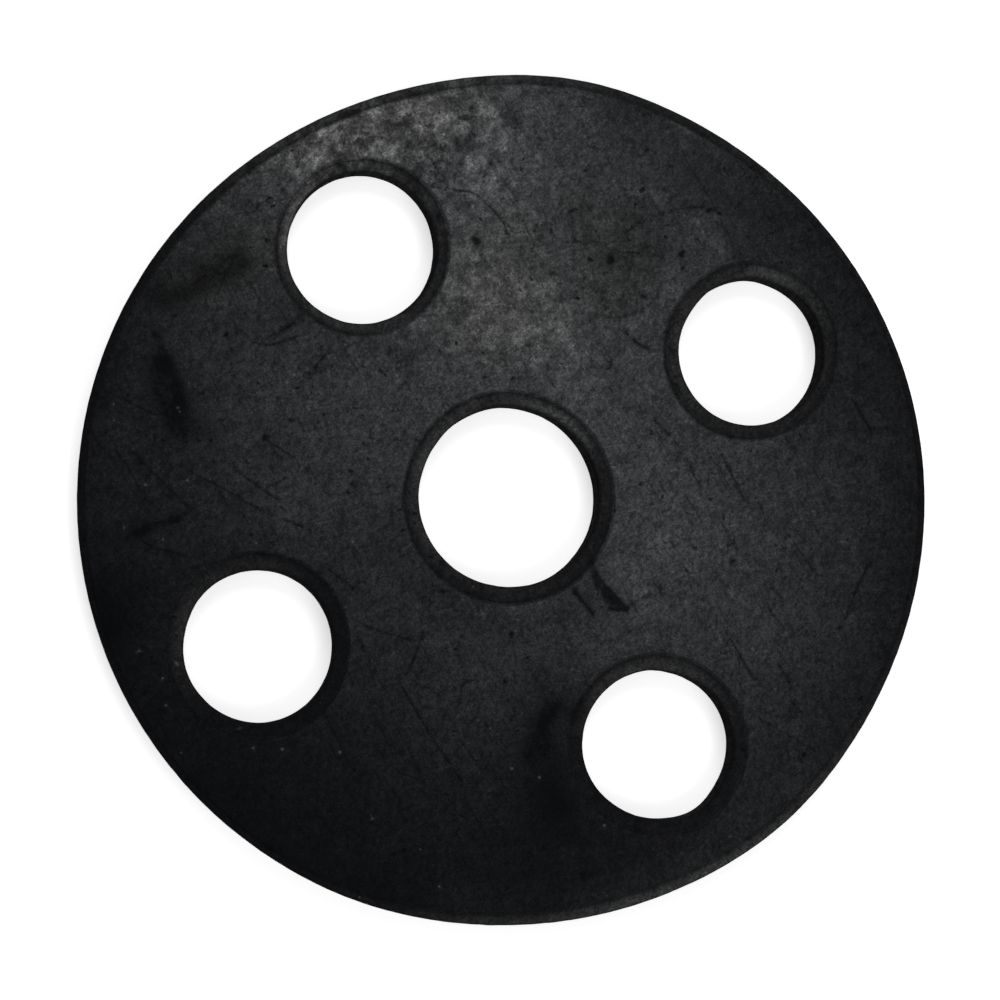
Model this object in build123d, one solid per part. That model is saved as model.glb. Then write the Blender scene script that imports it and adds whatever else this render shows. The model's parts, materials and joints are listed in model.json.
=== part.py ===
from build123d import *
import os
from dataclasses import dataclass

# Full-face rubber flange gasket: one flat die-cut disc with a centre bore and a circle of bolt
# holes. It lies on its plain back face, with the bore's axis on +Z and the origin where that axis
# meets the back face. The die leaves its mark on the front face: along every cut edge the sheet is
# pinched a little below the face, as a narrow ledge with a curved shoulder behind it.

# Driving dimensions, in millimetres and degrees
OUTSIDE_DIAMETER = 88.9
THICKNESS = 3.2
BORE_DIAMETER = 18.8

BOLT_CIRCLE_DIAMETER = 60.3
BOLT_HOLE_DIAMETER = 15.6
BOLT_HOLE_COUNT = 4
FIRST_BOLT_HOLE_ANGLE = 45.0

# The cut edges on the front face, from the wall into the rubber: bevelled corner, flat ledge,
# curved shoulder. On the back face the wall ends in a plain sharp edge.
CORNER_BEVEL = 0.25
HOLE_LEDGE_FLAT = 1.0
RIM_LEDGE_FLAT = 0.25
LEDGE_DROP = 0.25
SHOULDER_RUN = 0.5

# How far a cutting tool runs past each face, so that it leaves no skin
TOOL_OVERRUN = 1.0


@dataclass(frozen=True)
class CutEdge:
    """Half-section, in the XZ plane, of the sheet's round edge where the die has cut it."""

    wall_radius: float
    ledge_flat: float
    into_rubber: int  # +1 where the rubber lies outside the wall, as at a hole, -1 at the rim

    def at(self, depth: float, height: float) -> Vector:
        """The point that deep in the rubber from the wall, and that high above the back face."""
        return Vector(self.wall_radius + self.into_rubber * depth, 0, height)

    @property
    def wall_foot(self) -> Vector:
        """Where the wall meets the back face."""
        return self.at(0, 0)

    @property
    def shoulder_top(self) -> Vector:
        """Where the shoulder reaches the front face, in the crisp line round the die mark."""
        return self.at(CORNER_BEVEL + self.ledge_flat + SHOULDER_RUN, THICKNESS)

    def profile(self) -> Curve:
        """The line from the foot of the wall up, over the ledge and up the shoulder."""
        ledge_height = THICKNESS - LEDGE_DROP
        ledge_end = self.at(CORNER_BEVEL + self.ledge_flat, ledge_height)
        wall_and_ledge = Polyline(
            self.wall_foot,
            self.at(0, ledge_height - CORNER_BEVEL),
            self.at(CORNER_BEVEL, ledge_height),
            ledge_end,
        )
        return wall_and_ledge + TangentArc(ledge_end, self.shoulder_top, tangent=(self.into_rubber, 0, 0))


def turned(edge: CutEdge, *closing_points: Vector) -> Part:
    """The solid turned about Z from a cut edge, closed from its shoulder's top to its wall's foot."""
    closing = Polyline(edge.shoulder_top, *closing_points, edge.wall_foot)
    return revolve(make_face(edge.profile() + closing), Axis.Z)


def rubber_disc() -> Part:
    """The disc of sheet, with its rim cut and no holes yet."""
    rim = CutEdge(OUTSIDE_DIAMETER / 2, RIM_LEDGE_FLAT, into_rubber=-1)
    return turned(rim, Vector(0, 0, THICKNESS), Vector(0, 0, 0))


def hole_cutter(diameter: float) -> Part:
    """The air of one hole with its die mark, carried on past both faces."""
    edge = CutEdge(diameter / 2, HOLE_LEDGE_FLAT, into_rubber=+1)
    low = -TOOL_OVERRUN
    high = THICKNESS + TOOL_OVERRUN
    return turned(
        edge,
        Vector(edge.shoulder_top.X, 0, high),
        Vector(0, 0, high),
        Vector(0, 0, low),
        Vector(edge.wall_foot.X, 0, low),
    )


def make_gasket() -> Part:
    """The whole gasket, as one solid."""
    bolt_circle = PolarLocations(
        BOLT_CIRCLE_DIAMETER / 2, BOLT_HOLE_COUNT, start_angle=FIRST_BOLT_HOLE_ANGLE
    )
    gasket = rubber_disc() - hole_cutter(BORE_DIAMETER)
    for place in bolt_circle:
        gasket -= place * hole_cutter(BOLT_HOLE_DIAMETER)
    return gasket


os.makedirs("parts", exist_ok=True)
export_step(make_gasket(), "parts/flange_gasket.step")
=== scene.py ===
"""Dresses a full-face rubber flange gasket: a die-cut disc of black sheet, long used and worn.

Sizes and places are in millimetres, and become metres where a mesh, lamp or camera is made.
X and Y lie in the sheet, Z points up out of its front face, and the bore's axis is the Z axis.
Angles go anticlockwise from +X, seen from above the front face.
"""

import json
import logging
import math
from collections.abc import Sequence
from dataclasses import dataclass
from enum import Enum
from typing import ClassVar

import bpy
import numpy as np
from mathutils import Matrix, Vector
from mathutils.geometry import delaunay_2d_cdt


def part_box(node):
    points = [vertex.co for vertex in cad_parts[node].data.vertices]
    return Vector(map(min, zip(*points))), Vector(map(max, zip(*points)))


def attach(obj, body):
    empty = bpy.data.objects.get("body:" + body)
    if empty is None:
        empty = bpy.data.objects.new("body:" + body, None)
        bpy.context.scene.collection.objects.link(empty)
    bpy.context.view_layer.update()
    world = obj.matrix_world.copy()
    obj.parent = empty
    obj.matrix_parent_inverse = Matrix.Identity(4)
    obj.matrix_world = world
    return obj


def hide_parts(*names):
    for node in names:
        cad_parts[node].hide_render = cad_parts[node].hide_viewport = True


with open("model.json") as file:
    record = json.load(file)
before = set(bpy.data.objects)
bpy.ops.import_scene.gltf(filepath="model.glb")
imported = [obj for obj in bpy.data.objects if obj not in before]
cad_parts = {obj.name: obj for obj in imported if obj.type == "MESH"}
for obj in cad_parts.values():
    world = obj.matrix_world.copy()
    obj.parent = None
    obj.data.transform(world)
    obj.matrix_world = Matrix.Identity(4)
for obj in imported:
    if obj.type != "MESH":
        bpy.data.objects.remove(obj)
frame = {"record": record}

LOG = logging.getLogger("flange_gasket")
NODE = "flange_gasket"
METRES = 0.001
FULL_TURN = 2.0 * math.pi

# More than the cells across the sheet, so that every cell of a square pattern has its own number
CELL_STRIDE = 100003
# Corners nearer than this are one corner to the triangulation, which fills the whole hull
WELD = 1e-7
WHOLE_HULL = 0

Array = np.ndarray
Numbers = tuple[float, ...]
Span = tuple[float, float]
Place = tuple[float, float]
Route = tuple[Place, ...]
Colour = tuple[float, float, float, float]
Socket = bpy.types.NodeSocket


class Side(Enum):
    """The side of a cut wall on which the rubber lies, as the sign of a step into it."""

    OUTSIDE = 1
    INSIDE = -1


class Wear(Enum):
    """A kind of wear, with the name of the mesh attribute that carries it."""

    # Pale haze, which in places also carries painted sheen and lip highlights, and painted shade where it
    # drops to the wall's
    BLOOM = "bloom_and_sheen"  # pale haze
    GRIME = "grime"  # dark dirt that hides the haze
    GROOVE = "groove"  # the dark line of a scratch
    CHALK = "chalk"  # pale dust and specks
    FLECK = "fleck"  # more contrast between the haze's clumps
    WARMTH = "warmth"  # haze of a neutral grey, not a bluish one


class Pattern(Enum):
    """A fine pattern of the worn face."""

    GRAIN = 1
    FIBRES = 2
    CLUMPS = 3
    MOTTLE = 4
    CLOUD = 5
    DARK_HAIRS = 6
    PALE_HAIRS = 7
    CHIPS = 8
    STREAKS = 9


def smoothstep(low: float, high: float, value: Array) -> Array:
    """Eased step: t squared times (3 - 2t), where t runs from 0 at low to 1 at high."""
    share = np.clip((value - low) / (high - low), 0.0, 1.0)
    return share * share * (3.0 - 2.0 * share)


def angle_between(angle: Array, centre_deg: float) -> Array:
    """Turn in degrees from a centre angle to angles in radians, within half a turn."""
    return (np.degrees(angle) - centre_deg + 180.0) % 360.0 - 180.0


def smooth_route(route: Route, step: float) -> Array:
    """Evenly stepped points on the Catmull-Rom curve through a route.

    From point b to point c, with a before and d after, and t from 0 to 1, the curve is half of
    2b + (c - a)t + (2a - 5b + 4c - d)t^2 + (3b - a - 3c + d)t^3.

    Args:
        route: The points that the curve goes through.
        step: Distance between the points that come back.

    Returns:
        An array of points, one a row.
    """
    knots = np.array(route, dtype=float)
    knots = np.vstack((2.0 * knots[0] - knots[1], knots, 2.0 * knots[-1] - knots[-2]))
    spans = []
    for a, b, c, d in zip(knots[:-3], knots[1:-2], knots[2:-1], knots[3:]):
        count = max(2, math.ceil(np.linalg.norm(c - b) / step))
        t = np.linspace(0.0, 1.0, count, endpoint=False)[:, None]
        straight = 2.0 * b + (c - a) * t
        bend = (2.0 * a - 5.0 * b + 4.0 * c - d) * t**2
        spans.append(0.5 * (straight + bend + (3.0 * b - a - 3.0 * c + d) * t**3))
    return np.vstack((*spans, knots[-2]))


def distance_to_route(places: Array, route: Array) -> Array:
    """Distance from places to a line of points: the least distance to any of its runs.

    Args:
        places: Points to measure from, one a row.
        route: Points of the line, one a row.

    Returns:
        One distance for each place.
    """
    nearest = np.linalg.norm(places - route[0], axis=1)
    for start, end in zip(route[:-1], route[1:]):
        run = end - start
        share = np.clip((places - start) @ run / (run @ run), 0.0, 1.0)
        nearest = np.minimum(nearest, np.linalg.norm(places - start - share[:, None] * run, axis=1))
    return nearest


def near_route(places: Array, route: Route, margin: float) -> Array:
    """Which places lie in a route's box, grown by a margin on every side."""
    line = np.array(route, dtype=float)
    return np.all((places > line.min(axis=0) - margin) & (places < line.max(axis=0) + margin), axis=1)


def rows_beside(path: Array, offsets: Array) -> Array:
    """Points in rows beside a path: each of its points plus each offset along its normal.

    Args:
        path: Points of the path, one a row.
        offsets: Signed distances to the left of the path.

    Returns:
        An array of points, one a row.
    """
    heading = np.gradient(path, axis=0)
    heading /= np.linalg.norm(heading, axis=1)[:, None]
    normal = np.column_stack((-heading[:, 1], heading[:, 0]))
    return (path[:, None, :] + offsets[None, :, None] * normal[:, None, :]).reshape(-1, 2)


def honeycomb(radius: float, spacing: float, seed: int, jitter: float = 0.2) -> Array:
    """Points spread evenly over a disc, in a jittered pattern of equal triangles.

    Row j is at height j times the spacing times sin 60, and every other row moves half a spacing.
    Each point then moves at random, in X and in Y, by up to the jitter times the spacing.

    Args:
        radius: Radius of the disc.
        spacing: Distance between neighbours.
        seed: Seed of the random moves.
        jitter: Greatest random move, in spacings.

    Returns:
        An array of points, one a row.
    """
    row_step = math.sin(math.radians(60.0))
    spare_rows = 1.2
    reach = math.ceil(radius / spacing * spare_rows)
    column, row = np.meshgrid(np.arange(-reach, reach + 1), np.arange(-reach, reach + 1))
    places = np.column_stack(((column + 0.5 * (row % 2)).ravel(), (row * row_step).ravel())) * spacing
    places += np.random.default_rng(seed).uniform(-jitter, jitter, places.shape) * spacing
    return places[np.linalg.norm(places, axis=1) < radius]


def one_to_a_cell(places: Array, cell: float) -> Array:
    """The places left, in their order, when each square cell keeps only the first place in it."""
    _, first = np.unique(np.floor(places / cell).astype(np.int64), axis=0, return_index=True)
    return places[np.sort(first)]


def clear_of(places: Array, others: Array, gap: float) -> Array:
    """The places with none of the others in their own square cell or the eight round it.

    Args:
        places: Points to thin, one a row.
        others: Points to keep clear of, one a row.
        gap: Width of a cell.

    Returns:
        The points that stay, in their order.
    """
    stride = np.array((CELL_STRIDE, 1))
    around = np.array([(i, j) for i in (-1, 0, 1) for j in (-1, 0, 1)])
    taken = np.floor(others / gap).astype(np.int64)[:, None, :] + around
    own = np.floor(places / gap).astype(np.int64)
    return places[~np.isin(own @ stride, (taken @ stride).ravel())]


def into_scene(name: str, data: bpy.types.ID) -> bpy.types.Object:
    """Makes an object of a mesh, lamp or camera and puts it into the scene.

    Args:
        name: The object's name.
        data: The mesh, lamp or camera.

    Returns:
        The new object.
    """
    thing = bpy.data.objects.new(name, data)
    bpy.context.scene.collection.objects.link(thing)
    return thing


@dataclass(frozen=True)
class Swell:
    """A stretch of a cut edge that bows out or in: height times a bell curve of the angle."""

    centre_deg: float
    spread_deg: float
    height: float

    def at(self, angle: Array) -> Array:
        """Height times e to the minus (turn from the centre over the spread) squared."""
        return self.height * np.exp(-((angle_between(angle, self.centre_deg) / self.spread_deg) ** 2))


def swells(*rows: tuple[float, float, float]) -> tuple[Swell, ...]:
    """Swells from rows of centre and spread in degrees, and height."""
    return tuple(Swell(*row) for row in rows)


@dataclass(frozen=True)
class Shades:
    """An amount a narrow band round an edge holds, by the angle: an even amount plus swells, used for bloom
    that is painted highlight in part and for shares of painted shade.
    """

    even: float
    swells: tuple[Swell, ...] = ()

    def at(self, angle: Array) -> Array:
        """The amount at each angle: the even amount plus every swell."""
        return sum((swell.at(angle) for swell in self.swells), np.full_like(angle, self.even))


@dataclass(frozen=True)
class EdgeLook:
    """What is uneven about one cut edge, all of it by the angle round the edge.

    The swells move the wall outwards from the hole's or the rim's middle, and the ledge swells
    widen the ledge.  The shades are the bloom on the lip and in the crease, pale dust in part and
    painted highlight in part, lighter on the sides whose slopes face the lamps.  The painted shade
    swells are the share of the outer rows that get painted shade, no more bloom than the wall, on
    the side turned away from the main lamps.
    """

    lip: Shades
    crease: Shades
    swells: tuple[Swell, ...] = ()
    ledge_swells: tuple[Swell, ...] = ()
    painted_shade_swells: tuple[Swell, ...] = ()


@dataclass(frozen=True)
class Section:
    """Half-section of a cut edge, row by row, with the share each band has in a row's finish."""

    depth: Array
    height: Array
    wall: Array
    lip: Array
    crease: Array

    @property
    def face(self) -> Array:
        """The front face's share: what the wall, lip and crease leave."""
        return 1.0 - self.wall - self.lip - self.crease


def columns(
    depth: Array,
    height: Array | float,
    wall: Array | float = 0.0,
    lip: Array | float = 0.0,
    crease: Array | float = 0.0,
) -> tuple[Array, ...]:
    """The columns of some rows of a section, each as long as the depth."""
    return tuple(np.broadcast_arrays(depth, height, wall, lip, crease))


@dataclass(frozen=True)
class CutEdge:
    """A round edge that the die cut: wall, rounded corner, pinched ledge and curved shoulder."""

    centre: Place
    wall_radius: float
    rubber: Side
    stations: int
    ledge_flat: float
    look: EdgeLook
    thickness: float
    seed: int
    back_round: float = 0.12
    corner_round: float = 0.25
    ledge_drop: float = 0.25
    ledge_crown: float = 0.03
    crease_drop: float = 0.05
    shoulder_run: float = 0.35
    # How far the shoulder's arc turns, in radians
    shoulder_turn: float = math.pi / 3.4
    wall_hollow: float = 0.05
    wall_ribs: float = 0.012
    berm_rise: float = 0.015
    berm_run: float = 0.35
    # Height of the slow sines in the ledge's width, and how many times each goes round the edge
    wander: float = 0.02
    wander_waves: tuple[int, ...] = (3, 5, 8)

    # Where rows stand on the two round corners, as turns in degrees
    BACK_TURNS: ClassVar[Numbers] = (0.0, 45.0, 90.0)
    CORNER_TURNS: ClassVar[Numbers] = (0.0, 30.0, 60.0, 90.0)
    # How much of the wall's finish those corner rows keep
    CORNER_WALL: ClassVar[Numbers] = (1.0, 0.75, 0.35, 0.0)
    # Where rows stand on the other stretches, as shares of the stretch
    WALL_ROWS: ClassVar[Numbers] = (0.2, 0.42, 0.64, 0.84)
    LEDGE_ROWS: ClassVar[Numbers] = (0.25, 0.5, 0.75, 1.0)
    SHOULDER_ROWS: ClassVar[Numbers] = (0.2, 0.45, 0.7, 0.88, 1.0)
    BERM_ROWS: ClassVar[Numbers] = (0.12, 0.45, 1.0)
    # How much of the berm's rise those last rows have
    BERM_SHAPE: ClassVar[Numbers] = (0.6, 1.0, 0.0)

    @property
    def face_depth(self) -> float:
        """How deep in the rubber, from the wall, the plain front face begins."""
        return self.corner_round + self.ledge_flat + self.shoulder_run + self.berm_run

    @property
    def angles(self) -> Array:
        """The angles of the stations, evenly round the edge."""
        return np.linspace(0.0, FULL_TURN, self.stations, endpoint=False)

    def radius_at(self, angle: Array) -> Array:
        """Radius of the wall at each angle: its plain radius plus every swell."""
        return sum((swell.at(angle) for swell in self.look.swells), np.full_like(angle, self.wall_radius))

    def widening(self, angle: Array) -> Array:
        """How much wider the ledge is: its swells, plus three slow sines at random phases.

        Args:
            angle: Angles in radians.

        Returns:
            The added width at each angle.
        """
        phases = np.random.default_rng(self.seed).uniform(0.0, FULL_TURN, len(self.wander_waves))
        wander = sum(self.wander * np.sin(n * angle + phase) for n, phase in zip(self.wander_waves, phases))
        return sum((swell.at(angle) for swell in self.look.ledge_swells), wander)

    def clearance(self, places: Array, front: bool) -> Array:
        """How far places are past the edge's border, into the plain face.

        It is their distance past the wall, on the rubber's side, less the border's own depth.  In
        front that is the face depth and the ledge's widening, and behind it is the back's rounding.

        Args:
            places: Points of the sheet, one a row.
            front: Whether the face is the front one.

        Returns:
            One clearance for each place, negative before the border.
        """
        arm = places - np.array(self.centre)
        angle = np.arctan2(arm[:, 1], arm[:, 0])
        depth = self.rubber.value * (np.linalg.norm(arm, axis=1) - self.radius_at(angle))
        return depth - (self.face_depth + self.widening(angle) if front else self.back_round)

    def section(self) -> Section:
        """Half-section of the edge, from the back face up the wall to the front face.

        The back corner and the front corner are quarter circles, and the wall is hollow by a half
        sine.  The ledge is crowned by a half sine and falls by the square of its run into a
        crease.  The shoulder rises from the crease like an arc that leaves it level, and a low
        berm sinks from its top to the plain face.

        Returns:
            The rows of the section.
        """
        ledge_height = self.thickness - self.ledge_drop
        corner_start = ledge_height - self.corner_round
        foot = self.corner_round + self.ledge_flat
        low = ledge_height - self.crease_drop
        turn = np.radians(self.BACK_TURNS)
        rise = self.back_round * (1.0 - np.cos(turn))
        back = columns(self.back_round * (1.0 - np.sin(turn)), rise, wall=1.0)
        share = np.array(self.WALL_ROWS)
        rise = self.back_round + share * (corner_start - self.back_round)
        wall = columns(self.wall_hollow * np.sin(math.pi * share), rise, wall=1.0)
        turn = np.radians(self.CORNER_TURNS)
        kept = np.array(self.CORNER_WALL)
        rise = corner_start + self.corner_round * np.sin(turn)
        corner = columns(self.corner_round * (1.0 - np.cos(turn)), rise, wall=kept, lip=1.0 - kept)
        share = np.array(self.LEDGE_ROWS)
        sink = self.ledge_crown * np.sin(math.pi * share) - self.crease_drop * share**2
        run = self.corner_round + self.ledge_flat * share
        ledge = columns(run, ledge_height + sink, lip=1.0 - share**2, crease=share**2)
        share = np.array(self.SHOULDER_ROWS)
        lift = (1.0 - np.cos(self.shoulder_turn * share)) / (1.0 - math.cos(self.shoulder_turn))
        rise = low + (self.thickness - low) * lift
        shoulder = columns(foot + self.shoulder_run * share, rise, crease=1.0 - share)
        berm_height = self.thickness + self.berm_rise * np.array(self.BERM_SHAPE)
        berm = columns(foot + self.shoulder_run + self.berm_run * np.array(self.BERM_ROWS), berm_height)
        return Section(*(np.concatenate(rows) for rows in zip(back, wall, corner, ledge, shoulder, berm)))

    def grid(self) -> Array:
        """The section carried round the edge: centre plus (radius + side x depth) along each angle.

        The wall's rows above the back face also waver in and out by small random ribs, each of
        them half itself and a quarter each neighbour.  From the ledge onwards the depth grows by
        the ledge's widening.

        Returns:
            Points in an array of section rows by stations by three.
        """
        section = self.section()
        ribs = np.random.default_rng(self.seed).normal(0.0, self.wall_ribs, self.stations)
        ribs = 0.5 * ribs + 0.25 * (np.roll(ribs, 1) + np.roll(ribs, -1))
        ribbed = section.wall * (section.height > 0.0)
        share = np.clip((section.depth - self.corner_round) / self.ledge_flat, 0.0, 1.0)
        inward = section.depth[:, None] + ribbed[:, None] * ribs + share[:, None] * self.widening(self.angles)
        reach = self.radius_at(self.angles) + self.rubber.value * inward
        x = self.centre[0] + reach * np.cos(self.angles)
        y = self.centre[1] + reach * np.sin(self.angles)
        return np.stack((x, y, np.broadcast_to(section.height[:, None], reach.shape)), axis=-1)

    def quads(self, first: int) -> Array:
        """Faces between neighbouring rows and stations, turned to point out of the rubber.

        Args:
            first: Index of the grid's first point in the mesh.

        Returns:
            Four indices a row.
        """
        rows = len(self.section().depth)
        row, station = np.meshgrid(np.arange(rows - 1), np.arange(self.stations), indexing="ij")
        onward = (station + 1) % self.stations
        low, high = row * self.stations, (row + 1) * self.stations
        faces = np.stack((low + station, low + onward, high + onward, high + station), axis=-1).reshape(-1, 4)
        if self.rubber is Side.OUTSIDE:
            faces = faces[:, ::-1]
        return faces + first

    def on_wall(self) -> Array:
        """Which of the quads belong to the cut wall, in their order: those with two rows mostly wall."""
        wall = self.section().wall > 0.5
        return np.repeat(wall[:-1] & wall[1:], self.stations)


@dataclass(frozen=True)
class Stroke:
    """A soft-edged patch or smear of one kind of wear along a line of points."""

    wear: Wear
    strength: float
    half_width: float
    route: Route

    # How far from its route it is worked out, in half widths
    REACH: ClassVar[float] = 3.0

    def cover(self, places: Array) -> Array:
        """Strength times e to the minus (distance to the line over the half width) squared.

        Args:
            places: Points of the sheet, one a row.

        Returns:
            The wear at each place.
        """
        line = np.array(self.route, dtype=float)
        if len(line) > 1:
            line = smooth_route(self.route, self.half_width)
        return self.strength * np.exp(-((distance_to_route(places, line) / self.half_width) ** 2))

    def near(self, places: Array) -> Array:
        """Which places it may reach."""
        return near_route(places, self.route, self.REACH * self.half_width)


def strokes(wear: Wear, *rows: tuple[float | Place, ...]) -> tuple[Stroke, ...]:
    """Strokes of one kind of wear from rows of strength, half width and the route's points."""
    return tuple(Stroke(wear, row[0], row[1], row[2:]) for row in rows)


@dataclass(frozen=True)
class Scratch:
    """A fine groove in the face along a line of points, with a faint raised lip on both sides."""

    width: float
    depth: float
    strength: float
    route: Route

    STEP: ClassVar[float] = 0.17
    # Rows of mesh points across it: its lips, flanks and bottom, in widths
    ROWS: ClassVar[Numbers] = (-1.1, -0.45, 0.0, 0.45, 1.1)
    # Where the lips stand, in half widths, and how high, in depths
    LIP_PLACE: ClassVar[float] = 2.0
    LIP_HEIGHT: ClassVar[float] = 0.25
    # How far from its route its relief and its dark line are worked out, in widths
    RELIEF_REACH: ClassVar[float] = 3.0
    COVER_REACH: ClassVar[float] = 2.0

    @property
    def path(self) -> Array:
        """The groove's middle line, in points a step apart."""
        return smooth_route(self.route, self.STEP)

    def mesh_points(self) -> Array:
        """Points across the groove: its bottom, its two flanks and its two lips."""
        return rows_beside(self.path, self.width * np.array(self.ROWS))

    def across(self, places: Array) -> Array:
        """Distance from the middle line over half the width."""
        return distance_to_route(places, self.path) / (0.5 * self.width)

    def relief(self, places: Array) -> Array:
        """Height of the face: depth x (lip height x e^-(u - lip place)^2 - e^-u^2), at u across it."""
        u = self.across(places)
        return self.depth * (self.LIP_HEIGHT * np.exp(-((u - self.LIP_PLACE) ** 2)) - np.exp(-(u**2)))

    def cover(self, places: Array) -> Array:
        """Strength times e to the minus u squared, at u across it."""
        return self.strength * np.exp(-(self.across(places) ** 2))


def scratches(*rows: tuple[float | Place, ...]) -> tuple[Scratch, ...]:
    """Scratches from rows of width, depth, strength and the route's points."""
    return tuple(Scratch(row[0], row[1], row[2], row[3:]) for row in rows)


@dataclass(frozen=True)
class Pit:
    """A small hollow in the face, or a speck on it, with a more or less uneven outline."""

    x: float
    y: float
    width: float
    uneven: float = 1.0
    middle_stain: float = 0.85
    stain_swing: float = 0.3

    # Rings of mesh points, in half widths, and the points in a ring
    RINGS: ClassVar[Numbers] = (0.6, 1.0, 1.5)
    RING_POINTS: ClassVar[int] = 8
    # How far from its middle it is worked out, in widths
    REACH: ClassVar[float] = 2.0

    @property
    def middle(self) -> Array:
        """The middle, as an array."""
        return np.array((self.x, self.y))

    @property
    def stain(self) -> float:
        """How much it marks the face: the middle stain plus its swing times the sine of 5x + 3y."""
        return self.middle_stain + self.stain_swing * math.sin(5.0 * self.x + 3.0 * self.y)

    def reach(self, places: Array) -> Array:
        """Distance from the middle over an uneven radius.

        The radius is half the width times 1 + the unevenness times 0.25 sin(2a + x) + 0.15 sin(3a + y),
        at angle a.

        Args:
            places: Points of the sheet, one a row.

        Returns:
            One number for each place, 1 at the pit's edge.
        """
        arm = places - self.middle
        angle = np.arctan2(arm[:, 1], arm[:, 0])
        bulge = 0.25 * np.sin(2.0 * angle + self.x) + 0.15 * np.sin(3.0 * angle + self.y)
        return np.linalg.norm(arm, axis=1) / (0.5 * self.width * (1.0 + self.uneven * bulge))

    def mesh_points(self) -> Array:
        """The middle, and rings of points round it: the middle plus radius times (cos, sin).

        Returns:
            An array of points, one a row.
        """
        turn = np.linspace(0.0, FULL_TURN, self.RING_POINTS, endpoint=False)
        ring = np.column_stack((np.cos(turn), np.sin(turn)))
        radii = 0.5 * self.width * np.array(self.RINGS)
        return np.vstack((self.middle, self.middle + (radii[:, None, None] * ring).reshape(-1, 2)))

    def cover(self, places: Array) -> Array:
        """E to the minus the third power of the reach: 1 over the floor, 0 outside the edge."""
        return np.exp(-(self.reach(places) ** 3))

    def near(self, places: Array) -> Array:
        """Which places it may reach."""
        return np.linalg.norm(places - self.middle, axis=1) < self.REACH * self.width


@dataclass(frozen=True)
class FrontFace:
    """The worn front face: a field of height and of wear over the plane of the sheet."""

    strokes: tuple[Stroke, ...]
    scratches: tuple[Scratch, ...]
    pits: tuple[Pit, ...]
    specks: tuple[Pit, ...]
    # A pit's depth for each millimetre of its width
    pit_depth: float = 0.25
    # The slow waves: height, number, shortest and longest, and the greatest random angle of one
    sway: float = 0.02 / 3.5
    waves: int = 12
    shortest_wave: float = 9.0
    longest_wave: float = 30.0
    greatest_turn: float = 6.28
    seed: int = 11

    def mesh_points(self) -> Array:
        """Extra mesh points on every scratch, pit and speck."""
        return np.vstack([mark.mesh_points() for mark in (*self.pits, *self.specks, *self.scratches)])

    def relief(self, places: Array) -> Array:
        """Height above the plain face: slow waves, less every pit and scratch.

        A wave is the sway times sin(2 pi s / length + phase), where s is the distance along its
        heading, and its heading, phase and length are random.  A pit is the pit depth times its
        width times its cover.

        Args:
            places: Points of the sheet, one a row.

        Returns:
            One height for each place.
        """
        random = np.random.default_rng(self.seed)
        height = np.zeros(len(places))
        for _ in range(self.waves):
            heading = random.uniform(0.0, self.greatest_turn)
            phase = random.uniform(0.0, self.greatest_turn)
            length = random.uniform(self.shortest_wave, self.longest_wave)
            along = places @ np.array((math.cos(heading), math.sin(heading)))
            height += self.sway * np.sin(along * FULL_TURN / length + phase)
        for pit in self.pits:
            near = pit.near(places)
            height[near] -= self.pit_depth * pit.width * pit.cover(places[near])
        for scratch in self.scratches:
            near = near_route(places, scratch.route, scratch.RELIEF_REACH * scratch.width)
            height[near] += scratch.relief(places[near])
        return height

    def worn(self, places: Array, wear: Wear) -> Array:
        """One kind of wear over the face: the sum of its strokes, and what the marks add.

        Grooves are the greatest cover of any scratch.  Every pit adds its stain times its cover to
        the grime, and every speck adds the same to the chalk.

        Args:
            places: Points of the sheet, one a row.
            wear: The kind of wear.

        Returns:
            One number for each place, 0 where there is none of it.
        """
        total = np.zeros(len(places))
        for stroke in self.strokes:
            if stroke.wear is wear:
                near = stroke.near(places)
                total[near] += stroke.cover(places[near])
        if wear is Wear.GROOVE:
            for scratch in self.scratches:
                near = near_route(places, scratch.route, scratch.COVER_REACH * scratch.width)
                total[near] = np.maximum(total[near], scratch.cover(places[near]))
        spots = {Wear.GRIME: self.pits, Wear.CHALK: self.specks}
        for spot in spots.get(wear, ()):
            near = spot.near(places)
            total[near] += spot.stain * spot.cover(places[near])
        return total


@dataclass(frozen=True)
class Ripple:
    """A noise pattern: its cells in a millimetre, finer layers, their strength, its distortion."""

    per_mm: float
    detail: float = 2.0
    rough: float = 0.5
    warp: float = 0.0


@dataclass(frozen=True)
class Dots:
    """Scattered dots: cells in a millimetre, share of them with a dot, largest radius in cells."""

    per_mm: float
    share: float
    radius: float


@dataclass(frozen=True)
class Hairs:
    """Curved hairlines: cells in a millimetre, thickness in the noise's value, height of the cut."""

    per_mm: float
    width: float
    shift: float


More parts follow.
